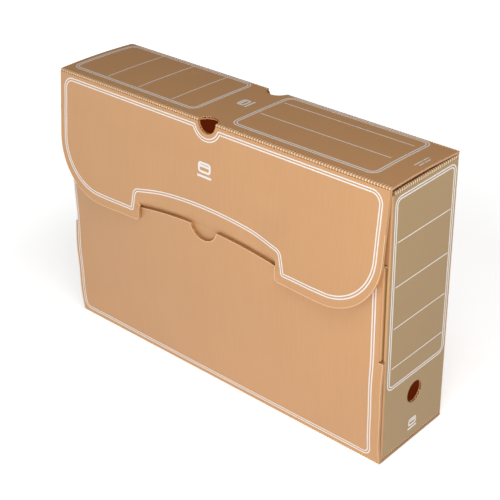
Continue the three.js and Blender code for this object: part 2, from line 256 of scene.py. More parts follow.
class Reading:
    """A socket that adds Math nodes when it is used in an expression."""

    def __init__(self, tree, socket):
        self.tree = tree
        self.socket = socket

    def _math(self, operation, first, second):
        node = self.tree.nodes.new("ShaderNodeMath")
        node.operation = operation
        for slot, value in zip(node.inputs, (first, second)):
            if isinstance(value, Reading):
                self.tree.links.new(value.socket, slot)
            else:
                slot.default_value = value
        return Reading(self.tree, node.outputs[0])

    def __add__(self, other):
        return self._math("ADD", self, other)

    def __radd__(self, other):
        return self._math("ADD", other, self)

    def __sub__(self, other):
        return self._math("SUBTRACT", self, other)

    def __rsub__(self, other):
        return self._math("SUBTRACT", other, self)

    def __mul__(self, other):
        return self._math("MULTIPLY", self, other)

    def __rmul__(self, other):
        return self._math("MULTIPLY", other, self)

    def __truediv__(self, other):
        return self._math("DIVIDE", self, other)

    def power(self, other):
        return self._math("POWER", self, other)


class Finish:
    """A new material, with one method that adds any node with its settings and inputs."""

    def __init__(self, name):
        self.material = bpy.data.materials.new(name)
        self.material.use_nodes = True
        self.tree = self.material.node_tree
        self.tree.nodes.clear()

    def node(self, kind, settings=None, inputs=None, output=0):
        node = self.tree.nodes.new(kind)
        for key, value in (settings or {}).items():
            setattr(node, key, value)
        for key, value in (inputs or {}).items():
            if isinstance(value, Reading):
                self.tree.links.new(value.socket, node.inputs[key])
            else:
                node.inputs[key].default_value = value
        return Reading(self.tree, node.outputs[output])

    def surface(self, shader):
        output = self.tree.nodes.new("ShaderNodeOutputMaterial")
        self.tree.links.new(shader.socket, output.inputs["Surface"])
        return self.material


def colour_mix(finish, share, first, second, blend="MIX"):
    inputs = {0: share, 6: first, 7: second}
    return finish.node("ShaderNodeMix", {"data_type": "RGBA", "blend_type": blend}, inputs, output=2)


def rgba(colour):
    return (*colour, 1.0)


def sheet_finish(name, across, colour=TAN, roughness=0.42, glow=None):
    """Plastic whose flutes repeat along the object axis named by across."""
    finish = Finish(name)
    here = finish.node("ShaderNodeTexCoord", output=3)
    axes = finish.node("ShaderNodeSeparateXYZ", inputs={0: here}, output="XYZ".index(across))
    phase = axes * (2 * math.pi / PITCH)
    wave = finish.node("ShaderNodeMath", {"operation": "COSINE"}, {0: phase})
    webs = (wave * 0.5 + 0.5).power(6.0)
    squeeze = [0.06, 0.06, 0.06]
    squeeze["XYZ".index(across)] = 1.0
    stretched = finish.node("ShaderNodeMapping", inputs={"Vector": here, "Scale": squeeze})
    streaks = finish.node("ShaderNodeTexNoise", inputs={"Vector": stretched, "Scale": 420.0, "Detail": 3.0})
    clouds = finish.node("ShaderNodeTexNoise", inputs={"Vector": here, "Scale": 14.0, "Detail": 4.0})
    grain = finish.node("ShaderNodeTexNoise", inputs={"Vector": here, "Scale": 1800.0, "Detail": 2.0})
    darker = tuple(0.90 * part for part in colour)
    lighter = tuple(min(1.0, 1.07 * part) for part in colour)
    tone = colour_mix(finish, clouds * 0.55 + streaks * 0.45, rgba(darker), rgba(lighter))
    tone = colour_mix(finish, webs * 0.13, tone, rgba(tuple(0.72 * part for part in colour)))
    height = wave * 0.5 + streaks * 0.6 + grain * 0.18
    bump = finish.node("ShaderNodeBump", inputs={"Strength": 0.35, "Distance": 0.00005, "Height": height})
    plastic = finish.node("ShaderNodeBsdfPrincipled", inputs={
        "Base Color": tone,
        "Roughness": streaks * 0.10 + grain * 0.06 + (roughness - 0.08),
        "Normal": bump,
        "IOR": 1.49,
        "Emission Color": rgba(glow or (0, 0, 0)),
        "Emission Strength": 1.0 if glow else 0.0,
    })
    return finish.surface(plastic)


# A darker copy of the tan for the end panels and the flaps folded from them: painted shade for the less lit
# end of the box.
END_SHADED_TAN = (0.385, 0.240, 0.094)
LONG_SHEET = sheet_finish("tan_sheet_long_panels", "X")
END_SHADED_SHEET = sheet_finish("tan_sheet_end_panels_painted_shade", "Y", END_SHADED_TAN)
# The inner skins' finishes glow: painted light, standing in for light coming through the orange plastic.
LONG_INNER = sheet_finish("tan_sheet_long_inner", "X", glow=PAINTED_INNER_GLOW)
END_INNER = sheet_finish("tan_sheet_end_inner", "Y", glow=PAINTED_INNER_GLOW)
INNER_OF = {LONG_SHEET.name: LONG_INNER, END_SHADED_SHEET.name: END_INNER}


# Screen print: opaque white ink in thin double rules, a fraction of a millimetre proud of the sheet.
# A rule is drawn flat as a ribbon along a path, then takes the same folds as the panel under it.
INK_PROUD = 0.10 * MM
INK_DEPTH = 0.03 * MM
RULE_WIDTH = 1.15 * MM
RULE_GAP = 1.35 * MM
WRITING_RULE = 0.9 * MM
RIM_WIDTH = 0.7 * MM
MITRE_LIMIT = 0.3
ARC_STEP = 1.2 * MM
INK_DARK = (0.77, 0.73, 0.69)
INK_LIGHT = (0.88, 0.85, 0.81)
# Pale tan for the cut edges: a painted highlight.
RIM_HIGHLIGHT_TAN = (0.80, 0.50, 0.27)


def ink_finish():
    finish = Finish("white_ink")
    here = finish.node("ShaderNodeTexCoord", output=3)
    speckle = finish.node("ShaderNodeTexNoise", inputs={"Vector": here, "Scale": 900.0, "Detail": 3.0})
    tone = colour_mix(finish, speckle, rgba(INK_DARK), rgba(INK_LIGHT))
    ink = finish.node("ShaderNodeBsdfPrincipled", inputs={
        "Base Color": tone, "Roughness": speckle * 0.15 + 0.38,
    })
    return finish.surface(ink)


INK = ink_finish()


def rim_highlight_finish():
    """The cut edge of the sheet, painted a pale tan as a highlight where it catches the light."""
    finish = Finish("rim_painted_highlight")
    rim = finish.node("ShaderNodeBsdfPrincipled", inputs={"Base Color": rgba(RIM_HIGHLIGHT_TAN), "Roughness": 0.3})
    return finish.surface(rim)


RIM_HIGHLIGHT = rim_highlight_finish()


def filleted(corners):
    """A closed path in millimetres from (x, z, radius) corners, each rounded by its radius."""
    path = []
    count = len(corners)
    for i, (x, z, radius) in enumerate(corners):
        here = Vector((x, z))
        if not radius:
            path.append(here)
            continue
        back = Vector(corners[i - 1][:2]) - here
        ahead = Vector(corners[(i + 1) % count][:2]) - here
        half = back.angle(ahead) / 2
        reach = radius / math.tan(half)
        start = here + back.normalized() * reach
        end = here + ahead.normalized() * reach
        centre = here + (back.normalized() + ahead.normalized()).normalized() * radius / math.sin(half)
        steps = max(3, round(radius * MM * (math.pi - 2 * half) / ARC_STEP))
        sweep = (start - centre).angle_signed(end - centre)
        for step in range(steps + 1):
            arm = start - centre
            arm.rotate(Matrix.Rotation(-sweep * step / steps, 2))
            path.append(centre + arm)
    return path


def ribbon(path, offset, width, closed=True):
    """A flat ribbon of ink of one width, to the left of the path by offset; millimetres in, metres out."""
    count = len(path)
    steps = count if closed else count - 1
    bpy.ops.object.select_all(action="DESELECT")
    bpy.ops.mesh.primitive_grid_add(x_subdivisions=steps, y_subdivisions=1)
    piece = bpy.context.object
    for i in range(steps + 1):
        here = path[i % count]
        before = path[(i - 1) % count] if closed or i else here - (path[1] - here)
        after = path[(i + 1) % count] if closed or i < steps else here + (here - path[i - 1])
        first = (here - before).normalized()
        second = (after - here).normalized()
        side = Vector((-(first + second).y, (first + second).x)).normalized()
        mitre = 1 / max(MITRE_LIMIT, side.dot(Vector((-first.y, first.x))))
        for edge, shift in enumerate((offset - width / 2, offset + width / 2)):
            flat = here + side * shift * mitre
            piece.data.vertices[edge * (steps + 1) + i].co = (flat.x * MM, -INK_PROUD, flat.y * MM)
    if closed:
        bpy.ops.object.mode_set(mode="EDIT")
        bpy.ops.mesh.select_all(action="SELECT")
        bpy.ops.mesh.remove_doubles(threshold=NEAR / 10)
        bpy.ops.object.mode_set(mode="OBJECT")
    ink = piece.modifiers.new("ink", "SOLIDIFY")
    ink.thickness = INK_PROUD + INK_DEPTH
    bpy.ops.object.modifier_apply(modifier=ink.name)
    return piece


def double_rule(path):
    apart = (RULE_WIDTH + RULE_GAP) / MM / 2
    width = RULE_WIDTH / MM
    return [ribbon(path, -apart, width), ribbon(path, apart, width)]


def single_rule(start, end):
    return [ribbon([Vector(start), Vector(end)], 0, WRITING_RULE / MM, closed=False)]


def frame_path(left, bottom, right, top, radius):
    corners = ((left, bottom), (right, bottom), (right, top), (left, top))
    return filleted([(x, z, radius) for x, z in corners])


def box_mark(x, z, size, turn=0):
    """A plain printed mark: the outline of a lidded box over a bar."""
    half = size / 2
    rib = size * 0.17
    outline = frame_path(-half, -half * 0.72, half, half * 0.55, size * 0.16)
    lid_line = [Vector((-half, half * 0.1)), Vector((half, half * 0.1))]
    bar = [Vector((-half * 1.3, -half * 1.4)), Vector((half * 1.3, -half * 1.4))]
    pieces = []
    for path, closed in ((outline, True), (lid_line, False), (bar, False)):
        turned = []
        for point in path:
            spun = point.copy()
            spun.rotate(Matrix.Rotation(turn, 2))
            turned.append(Vector((x, z)) + spun)
        pieces.append(ribbon(turned, 0, rib, closed))
    return pieces


def print_on(ribbons, name, columns, rows, place, body, finish=INK, slot="sheet_outside"):
    printed = join(ribbons, name)
    cross_cut(printed, columns, rows)
    fold_to(printed, place)
    printed.data.materials.append(finish)
    put_on(printed, body, slot)


# Front panel: one wide panel bowed out by its own spring, with an arched slit for the flap's tongue and
# a thumb notch below it. Above the slit it is pressed in behind the tongue.
FRONT_LOW, FRONT_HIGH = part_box("front_panel")
BULGE = 10 * MM
BULGE_PEAK = 165 * MM
BULGE_END = 243 * MM
HALF_DEPTH = 47.5 * MM
SLIT_Z = 174 * MM
SLIT_FALL = 9 * MM
SLIT_HALF = 86 * MM
SLIT_OPENING = 1.0 * MM
SHOULDER_ROUND = 18 * MM
WAVE_START_X = 160 * MM
SETTLE_FROM = 16 * MM  # above the slit the panel stays pressed in this far,
SETTLE_BY = 70 * MM  # and is back in line at this height
SIDE_FADE = (4 * MM, 12 * MM)  # inside and outside the tongue's edge
TONGUE_HALF = 84 * MM
LAYER_GAP = 0.6 * MM
FINGER_X = -1.5 * MM
NOTCH_R = 16.5 * MM
NOTCH_RISE = 3 * MM
SHOULDER_X = 181 * MM
CORNER_LIFT = 2.5 * MM
TAB_LOW = 108.5 * MM
TAB_HIGH = 203 * MM
TAB_EDGE_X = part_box("tab_fold_right")[0].x + CREASE_R - 0.1 * MM
NOTCH_STEPS = 24


def smoothstep(value, low, high):
    share = min(1.0, max(0.0, (value - low) / (high - low)))
    return share * share * (3 - 2 * share)


def bulge(x, z):
    across = 1 - (x / HALF_LENGTH) ** 2
    if z < BULGE_PEAK:
        return BULGE * across * math.sin(math.pi / 2 * z / BULGE_PEAK)
    return BULGE * across * math.cos(math.pi / 2 * (z - BULGE_PEAK) / (BULGE_END - BULGE_PEAK))


def slit_height(x):
    return SLIT_Z - SLIT_FALL * min(abs(x) / SLIT_HALF, 1.1) ** 2


def corner_lift(x, z):
    """The lower front corners are free, and stand off the flange behind them in a slow wave."""
    if not 0 < z < TAB_LOW:
        return 0
    turn = math.pi * z / TAB_LOW
    wave = math.sin(turn) * (1 + 0.3 * math.sin(3 * turn))
    return CORNER_LIFT * wave * smoothstep(abs(x), WAVE_START_X, HALF_LENGTH)


def front_out(x, z):
    above = z - slit_height(x)
    if above < 0:
        return bulge(x, z) + corner_lift(x, z)
    pressed_in = 2 * (SHEET + LAYER_GAP)
    near_slit = 1 - smoothstep(abs(x), TONGUE_HALF - SIDE_FADE[0], TONGUE_HALF + SIDE_FADE[1])
    settling = 1 - smoothstep(above, SETTLE_FROM, SETTLE_BY)
    return bulge(x, z) - pressed_in * near_slit * settling


def front_place(x, depth, row):
    """Rows near the slit follow its arch."""
    top = FRONT_HIGH.z
    share = row / SLIT_Z if row < SLIT_Z else (top - row) / (top - SLIT_Z)
    z = row + (slit_height(x) - SLIT_Z) * share
    return Vector((x, -HALF_DEPTH - front_out(x, z) + depth, z))


def flatten_row(x, z):
    """The flat row that front_place puts at height z."""
    top = FRONT_HIGH.z
    drop = slit_height(x) - SLIT_Z
    if z < slit_height(x):
        return z / (1 + drop / SLIT_Z)
    return (z - drop * top / (top - SLIT_Z)) / (1 - drop / (top - SLIT_Z))


def front_blank():
    top = FRONT_HIGH.z
    blank = blank_sheet(-HALF_LENGTH, HALF_LENGTH, FRONT_LOW.z - BEAD_LAP, top)
    for side in (-1, 1):
        tab_low = flatten_row(HALF_LENGTH, TAB_LOW)
        tab_high = flatten_row(HALF_LENGTH, TAB_HIGH)
        inner, outer = sorted((side * TAB_EDGE_X, side * (HALF_LENGTH + SHEET)))
        combine(blank, slab((inner, -SHEET, tab_low), (outer, 2 * SHEET, top + SHEET)))
        inner, outer = sorted((side * SHOULDER_X, side * (HALF_LENGTH + SHEET)))
        combine(blank, slab((inner, -SHEET, tab_high), (outer, 2 * SHEET, top + SHEET)))
        round_corner(blank, side * SHOULDER_X, top, SHOULDER_ROUND)
    lower_lip, upper_lip = SLIT_Z - SLIT_OPENING / 2, SLIT_Z + SLIT_OPENING / 2
    combine(blank, slab((-SLIT_HALF, -SHEET, lower_lip), (SLIT_HALF, 2 * SHEET, upper_lip)))
    notch = round_tool(FINGER_X, SLIT_Z + NOTCH_RISE, NOTCH_R)
    above = slab((-SLIT_HALF, -4 * SHEET, SLIT_Z), (SLIT_HALF, 4 * SHEET, SLIT_Z + 2 * NOTCH_R))
    combine(notch, above)
    combine(blank, notch)
    return blank


FRONT_COLUMNS = even_steps(-HALF_LENGTH, HALF_LENGTH, 10 * MM) + [-98 * MM, -91 * MM, 91 * MM, 98 * MM]
SLIT_LIP = SLIT_OPENING / 2 - 0.05 * MM
FRONT_ROWS = even_steps(FRONT_LOW.z, SLIT_Z - SLIT_LIP, 10 * MM) + [SLIT_Z - SLIT_LIP, SLIT_Z + SLIT_LIP]
FRONT_ROWS += even_steps(SLIT_Z + SLIT_LIP, FRONT_HIGH.z, 7 * MM)

front = twin_wall(front_blank(), "front_sheet", LONG_SHEET)
cross_cut(front, FRONT_COLUMNS, FRONT_ROWS)
fold_to(front, front_place)
put_on(front, "tray", "sheet_outside", "front_panel")


def front_print_place(x, depth, z):
    return front_place(x, depth, flatten_row(x, z))


FRONT_FRAME = [
    (-190, 7, 7),
    (184, 7, 7),
    (184, 196, 6),
    (173, 204, 8),
    (171, 226, 12),
    (-171, 226, 12),
    (-173, 204, 8),
    (-190, 196, 6),
]
front_print = double_rule(filleted(FRONT_FRAME))
print_on(front_print, "front_print", FRONT_COLUMNS, FRONT_ROWS, front_print_place, "tray")


def front_rims():
    """The cut edges painted with a highlight: the slit's lower lip and thumb notch, the tab slots and the
    free corners.
    """
    lip = (SLIT_Z - SLIT_OPENING / 2) / MM
    middle, radius = FINGER_X / MM, NOTCH_R / MM
    turn = math.asin((SLIT_Z + NOTCH_RISE - lip * MM) / NOTCH_R)
    centre = Vector((middle, (SLIT_Z + NOTCH_RISE) / MM))
    path = [Vector((-SLIT_HALF / MM, lip))]
    for i in range(NOTCH_STEPS + 1):
        angle = math.pi + turn + (math.pi - 2 * turn) * i / NOTCH_STEPS
        path.append(centre + radius * Vector((math.cos(angle), math.sin(angle))))
    path.append(Vector((SLIT_HALF / MM, lip)))
    width = RIM_WIDTH / MM
    ribbons = [ribbon(path, -0.45, width, closed=False)]
    for side in (-1, 1):
        for height, inwards in ((TAB_LOW, -0.4), (TAB_HIGH, 0.4)):
            z = flatten_row(HALF_LENGTH, height) / MM + inwards
            edge = [Vector((side * TAB_EDGE_X / MM, z)), Vector((side * HALF_LENGTH / MM, z))]
            ribbons.append(ribbon(edge, 0, 0.8, closed=False))
        x = side * (HALF_LENGTH / MM - 0.4)
        free_edge = [Vector((x, FRONT_LOW.z / MM)), Vector((x, flatten_row(HALF_LENGTH, TAB_LOW) / MM))]
        ribbons.append(ribbon(free_edge, 0, width, closed=False))
    return ribbons


print_on(front_rims(), "slit_rim_painted_highlight", FRONT_COLUMNS, FRONT_ROWS, front_place, "tray", RIM_HIGHLIGHT, "crease")


# Closure flap and tongue: one piece that hangs from the lid's front crease. It leans out, its two round
# lobes stay outside the front panel, and the tongue between them dives behind the slit's lower lip.
FLAP_LOW, FLAP_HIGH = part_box("closure_flap")
TONGUE_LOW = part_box("locking_tongue")[0].z
FLAP_AXIS_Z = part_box("lid_front_fold_left")[0].z + CREASE_R
FLAP_LEAN = math.radians(6.5)
LOBE_CORNER_R = 57 * MM
STEP_HALF = 84.5 * MM
STEP_TOP = 172 * MM
LID_HOLE_R = 10.5 * MM
FURTHEST_OUT = -HALF_DEPTH - FLAP_LOW.y
SPRING_OUT = 1.9 * MM  # the tongue springs this far out as soon as it leaves the slit
SPRING_RISE = 5 * MM
NOTCH_RUN = 12 * MM  # over the thumb notch it does so more slowly, by this much more
WIDEN_RISE = 14 * MM
WIDEN_RUN = 34 * MM
LEAN_RISE = 66 * MM  # above the tongue, the flap takes this long to lean away from the panel
TONGUE_ROUND = 14 * MM
LOBE_ROUND = 5 * MM
STEP_ROUND = 1.5 * MM


def tongue_out(x, z):
    return bulge(x, z) - SHEET - LAYER_GAP


def smooth_larger(first, second, rounding):
    return (first + second + math.hypot(first - second, rounding)) / 2


def flap_above_slit(x, z):
    """The sheet comes out of the slit here, and widens into the lobes without a fold."""
    above = z - slit_height(x)
    rise = smoothstep(above, 1 * MM, WIDEN_RISE)
    outside = smoothstep(abs(x), TONGUE_HALF - WIDEN_RUN * rise, TONGUE_HALF + 8 * MM)
    over_notch = 1 - smoothstep(abs(x - FINGER_X), NOTCH_R, NOTCH_R + NOTCH_RUN)
    springing_out = SPRING_OUT * smoothstep(above, 0, SPRING_RISE + NOTCH_RUN * over_notch)
    pressed_in = (2 * (SHEET + LAYER_GAP) - springing_out) * (1 - outside)
    if abs(x) > TONGUE_HALF + 0.3 * MM:
        pressed_in *= smoothstep(z, STEP_TOP - 8 * MM, STEP_TOP + 1 * MM)
    return bulge(x, z) + SHEET + LAYER_GAP - pressed_in


def flap_out(x, z):
    if z < slit_height(x) + 0.3 * MM and abs(x) <= TONGUE_HALF + 0.1 * MM:
        return tongue_out(x, z)
    leaning = (FLAP_AXIS_Z - z) * math.tan(FLAP_LEAN)
    pull = 1 - smoothstep(z, STEP_TOP, STEP_TOP + LEAN_RISE)
    near_tongue = 1 - smoothstep(abs(x), TONGUE_HALF - 14 * MM, TONGUE_HALF + 46 * MM)
    out = leaning + (flap_above_slit(x, z) - leaning) * pull * near_tongue
    if z < FRONT_HIGH.z:
        out = smooth_larger(out, front_out(x, z) + SHEET + LAYER_GAP, 1 * MM)
    return min(out, FURTHEST_OUT)


def flap_place(x, depth, z):
    return Vector((x, -HALF_DEPTH - flap_out(x, z) + depth, z))


def flap_blank():
    blank = blank_sheet(-HALF_LENGTH, HALF_LENGTH, FLAP_LOW.z, FLAP_HIGH.z + BEAD_LAP)
    for side in (-1, 1):
        round_corner(blank, side * HALF_LENGTH, FLAP_LOW.z, LOBE_CORNER_R, segments=20)
    gap = slab((-STEP_HALF, -SHEET, FLAP_LOW.z - SHEET), (STEP_HALF, 2 * SHEET, STEP_TOP))
    for side in (-1, 1):
        round_corner(gap, side * STEP_HALF, STEP_TOP, STEP_ROUND, segments=3)
    combine(blank, gap)
    for side in (-1, 1):
        round_corner(blank, side * STEP_HALF, FLAP_LOW.z, LOBE_ROUND, segments=5)
    tongue = blank_sheet(-TONGUE_HALF, TONGUE_HALF, TONGUE_LOW, STEP_TOP + 3 * MM)
    for side in (-1, 1):
        round_corner(tongue, side * TONGUE_HALF, TONGUE_LOW, TONGUE_ROUND)
    combine(blank, tongue, "UNION")
    combine(blank, round_tool(FINGER_X, FLAP_AXIS_Z, LID_HOLE_R))
    return blank


FLAP_COLUMNS = even_steps(-HALF_LENGTH, HALF_LENGTH, 5 * MM)
FLAP_COLUMNS += [side * edge for side in (-1, 1) for edge in (TONGUE_HALF, TONGUE_HALF + 1 * MM, STEP_HALF)]
FLAP_ROWS = even_steps(TONGUE_LOW, 162 * MM, 5 * MM) + even_steps(162 * MM, 180 * MM, 1.5 * MM)
FLAP_ROWS += even_steps(180 * MM, 210 * MM, 3 * MM) + even_steps(210 * MM, FLAP_HIGH.z, 6 * MM)

flap = twin_wall(flap_blank(), "closure_flap_sheet", LONG_SHEET)
cross_cut(flap, FLAP_COLUMNS, FLAP_ROWS)
fold_to(flap, flap_place)
put_on(flap, "flap", "sheet_outside", "closure_flap", "locking_tongue")


def flap_outline():
    """The printed line inside the flap's edge, dipping round the finger hole and arched over the tongue."""
    top, bottom, side = 267.3, 162, 187.5
    finger, dip = FINGER_X / MM, 16
    axis = FLAP_AXIS_Z / MM
    start = math.asin((axis - top) / dip)
    sweep = math.pi - 2 * start
    dip_points = []
    for i in range(17):
        angle = math.pi + start + sweep * i / 16
        dip_points.append((finger + dip * math.cos(angle), axis + dip * math.sin(angle), 0))
    arch_half, arch_low, arch_rise = 82, 184.5, 8.7
    arch_radius = (arch_half**2 + arch_rise**2) / (2 * arch_rise)
    arch_points = []
    for i in range(21):
        x = arch_half * (1 - 2 * i / 20)
        drop = arch_radius - math.sqrt(arch_radius**2 - x * x)
        arch_points.append((x, arch_low + arch_rise - drop, 0))
    right = [(side, top, 10), (side, bottom, 48), (93.6, bottom, 1.5), (89.6, 182.9, 7)]
    left = [(-x, z, r) for x, z, r in reversed(right)]
    return filleted([*left, *dip_points, *right, *arch_points])


flap_print = double_rule(flap_outline()) + box_mark(-1.5, 232, 13)
print_on(flap_print, "flap_print", FLAP_COLUMNS, FLAP_ROWS, flap_place, "flap")


def lobe_rims():
    """The cut edge round each lobe, up to the tongue's shoulder, painted with a highlight."""
    side, low, step, top = HALF_LENGTH / MM, FLAP_LOW.z / MM, STEP_HALF / MM, STEP_TOP / MM
    lobe = [(-side, 235, 0), (-side, low, LOBE_CORNER_R / MM), (-step, low, 5), (-step, top - 1, 0)]
    left = filleted(lobe)
    right = [Vector((-point.x, point.y)) for point in left]
    width = RIM_WIDTH / MM
    return [ribbon(left, 0.5, width, closed=False), ribbon(right, -0.5, width, closed=False)]


print_on(lobe_rims(), "flap_rim_painted_highlight", FLAP_COLUMNS, FLAP_ROWS, flap_place, "flap", RIM_HIGHLIGHT, "crease")


# Lid: held up at the front by the sprung dust flaps and a little crowned, printed with two label frames.
LID_LOW, LID_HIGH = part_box("lid_panel")
LID_AXIS_Y = HALF_DEPTH - CREASE_R
LID_TOP = 272 * MM
LID_RISE = 2.5 * MM
LID_CROWN = 1.2 * MM
LID_CROWN_DIP = 0.65  # how much flatter the crown is in the middle of the lid than at its ends
REAR_HOLE_R = 11.5 * MM


def lid_place(x, depth, y):
    share = (LID_AXIS_Y - y) / (2 * LID_AXIS_Y)
    along = 1 - LID_CROWN_DIP * (1 - (x / HALF_LENGTH) ** 2)
    crown = LID_CROWN * math.sin(math.pi * min(1, max(0, share))) * along
    return Vector((x, y, LID_TOP + LID_RISE * share + crown - depth))


lid_blank = blank_sheet(-HALF_LENGTH, HALF_LENGTH, LID_LOW.y + PILLOW_ROOM, LID_HIGH.y)
combine(lid_blank, round_tool(FINGER_X, -HALF_DEPTH, LID_HOLE_R))
combine(lid_blank, round_tool(FINGER_X, HALF_DEPTH, REAR_HOLE_R))
LID_COLUMNS = even_steps(-HALF_LENGTH, HALF_LENGTH, 15 * MM)
LID_ROWS = even_steps(LID_LOW.y, LID_HIGH.y, 7 * MM)
lid = twin_wall(lid_blank, "lid_sheet", LONG_SHEET)
cross_cut(lid, LID_COLUMNS, LID_ROWS)
fold_to(lid, lid_place)
put_on(lid, "lid", "sheet_outside", "lid_panel")

LABEL_NEAR, LABEL_FAR, LABEL_ROUND = -35.5, 42.4, 7
lid_print = double_rule(frame_path(-188, LABEL_NEAR, -29, LABEL_FAR, LABEL_ROUND))
lid_print += double_rule(frame_path(17.5, LABEL_NEAR, 170, LABEL_FAR, LABEL_ROUND))
for x in (-144, -103, -59.5):
    lid_print += single_rule((x, -32), (x, 40))
for y in (-3.8, 28.6):
    lid_print += single_rule((22, y), (163, y))
lid_print += box_mark(-6, 5, 11, math.pi / 2)
DASHES = [(185.2, -3, 8), (185.2, 9.4, 17), (188.6, -1, 6), (188.6, 7.2, 14.5)]
DASH_WIDTH = 1.1
for x, near, far in DASHES:
    lid_print.append(ribbon([Vector((x, near)), Vector((x, far))], 0, DASH_WIDTH, closed=False))
print_on(lid_print, "lid_print", LID_COLUMNS, LID_ROWS, lid_place, "lid")


# End panels: printed with a tall label frame and a mark, each with a finger hole to pull the box out.
END_LOW, END_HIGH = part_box("end_panel_right")
END_HOLE = (2 * MM, 53 * MM, 11 * MM)


def right_end_place(y, depth, z):
    return Vector((HALF_LENGTH - depth, y, z))


def left_end_place(y, depth, z):
    return Vector((-HALF_LENGTH + depth, -y, z))


def add_end(word, place, mirror):
    hole_y, hole_z, hole_r = END_HOLE
    low, high = sorted((mirror * (END_LOW.y - CREASE_LAP), mirror * (END_HIGH.y + CREASE_LAP)))
    blank = blank_sheet(low, high, END_LOW.z - BEAD_LAP, END_HIGH.z - PILLOW_ROOM)
    combine(blank, round_tool(mirror * hole_y, hole_z, hole_r))
    wall = twin_wall(blank, f"end_sheet_{word}", END_SHADED_SHEET)
    hole = Vector((mirror * hole_y, 0, hole_z))

    def on_hole_edge(middle, normal):
        reach = math.hypot(middle.x - hole.x, middle.z - hole.z)
        return abs(reach - hole_r) < 0.4 * MM and abs(normal.y) < 0.5

    # The faces around the hole's cut edge get the pale rim colour, a painted highlight on the cut cells.
    repaint(wall, RIM_HIGHLIGHT, on_hole_edge)
    fold_to(wall, place)
    put_on(wall, "tray", "sheet_outside", f"end_panel_{word}")
    left, right = sorted((mirror * -38.7, mirror * 42.5))
    ribbons = double_rule(frame_path(left, 76, right, 261.2, 6))
    for z in (96.8, 137.4, 178.3, 220.8):
        ribbons += single_rule((left + 3.7, z), (right - 3, z))
    ribbons += box_mark(mirror * 1, 21, 10)
    print_on(ribbons, f"end_print_{word}", [], [], place, "tray")


add_end("right", right_end_place, 1)
add_end("left", left_end_place, -1)


# Back and bottom panels: plain flat sheet, the back with its half of the rear finger hole.
BACK_LOW, BACK_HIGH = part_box("back_panel")


def back_place(x, depth, z):
    return Vector((-x, HALF_DEPTH - depth, z))


def bottom_place(x, depth, y):
    return Vector((x, -y, depth))


back_blank = blank_sheet(
    BACK_LOW.x - CREASE_LAP, BACK_HIGH.x + CREASE_LAP, BACK_LOW.z - BEAD_LAP, BACK_HIGH.z
)
combine(back_blank, round_tool(-FINGER_X, LID_TOP, REAR_HOLE_R))
back = twin_wall(back_blank, "back_sheet", LONG_SHEET)
fold_to(back, back_place)
put_on(back, "tray", "sheet_outside", "back_panel")

bottom_blank = blank_sheet(-HALF_LENGTH, HALF_LENGTH, BOX_LOW.y - BEAD_LAP, BOX_HIGH.y + BEAD_LAP)
bottom = twin_wall(bottom_blank, "bottom_sheet", LONG_SHEET)


def at_ends(middle, normal):
    return abs(normal.x) > 0.9 and abs(middle.x) > HALF_LENGTH - SKIN


# The bottom's cut ends take the darker end tan too: painted shade.
repaint(bottom, END_SHADED_SHEET, at_ends)
fold_to(bottom, bottom_place)
put_on(bottom, "tray", "sheet_outside", "bottom_panel")


# Inner flaps: each end panel carries a flange behind the front panel, a flap on the bottom and a sprung
# dust flap under the lid; the front panel's tab goes through the slot between flange and end panel.
def right_and_left():
    return (("right", 1), ("left", -1))


CORNER_CUT = 12 * MM
TAB_ROUND = 8 * MM
DUST_SLOPE = 28 * MM


def add_flange(word, side):
    low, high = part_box("front_flange_right")
    slot_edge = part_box("front_tab_right")[0].x - 0.3 * MM
    edge = high.x + CREASE_LAP
    blank = blank_sheet(low.x, edge, low.z, high.z)
    chamfer(blank, low.x, low.z, -CORNER_CUT, -14 * MM)
    chamfer(blank, low.x, high.z, -CORNER_CUT, 14 * MM)
    combine(blank, slab((slot_edge, -SHEET, TAB_LOW), (edge + SHEET, 2 * SHEET, TAB_HIGH)))
    flange = twin_wall(blank, f"front_flange_sheet_{word}", LONG_SHEET)
    fold_to(flange, lambda x, depth, z: Vector((side * x, low.y + depth, z)))
    put_on(flange, "tray", "sheet_inside", f"front_flange_{word}")


def add_tab(word, side):
    low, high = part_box("front_tab_right")
    blank = blank_sheet(low.y - CREASE_LAP, high.y, low.z, high.z)
    round_corner(blank, high.y, low.z, TAB_ROUND)
    round_corner(blank, high.y, high.z, TAB_ROUND)
    tab = twin_wall(blank, f"front_tab_sheet_{word}", END_SHADED_SHEET)
    fold_to(tab, lambda y, depth, z: Vector((side * (high.x - depth), y, z)))
    put_on(tab, "tray", "sheet_inside", f"front_tab_{word}")


def add_bottom_flap(word, side):
    low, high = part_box("bottom_flap_right")
    blank = blank_sheet(low.y, high.y, low.x, high.x + BEAD_LAP)
    chamfer(blank, low.y, low.x, -CORNER_CUT, -11 * MM)
    chamfer(blank, high.y, low.x, CORNER_CUT, -11 * MM)
    flap_sheet = twin_wall(blank, f"bottom_flap_sheet_{word}", END_SHADED_SHEET)
    fold_to(flap_sheet, lambda y, depth, x: Vector((side * x, y, low.z + depth)))
    put_on(flap_sheet, "tray", "sheet_inside", f"bottom_flap_{word}")


def add_dust_flap(word, side):
    low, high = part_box("dust_flap_right")
    blank = blank_sheet(low.y, high.y, low.x, high.x + BEAD_LAP)
    chamfer(blank, low.y, low.x, -16 * MM, -12 * MM)
    trim(blank, (high.y, high.x - 3 * MM), (high.x - low.x - 9 * MM, -DUST_SLOPE))
    trim(blank, (high.y - DUST_SLOPE, low.x + 6 * MM), (6 * MM, -11 * MM))
    dust_flap = twin_wall(blank, f"dust_flap_sheet_{word}", END_SHADED_SHEET)
    fold_to(dust_flap, lambda y, depth, x: Vector((side * x, y, high.z - depth)))
    put_on(dust_flap, f"dust_{word}", "sheet_inside", f"dust_flap_{word}")


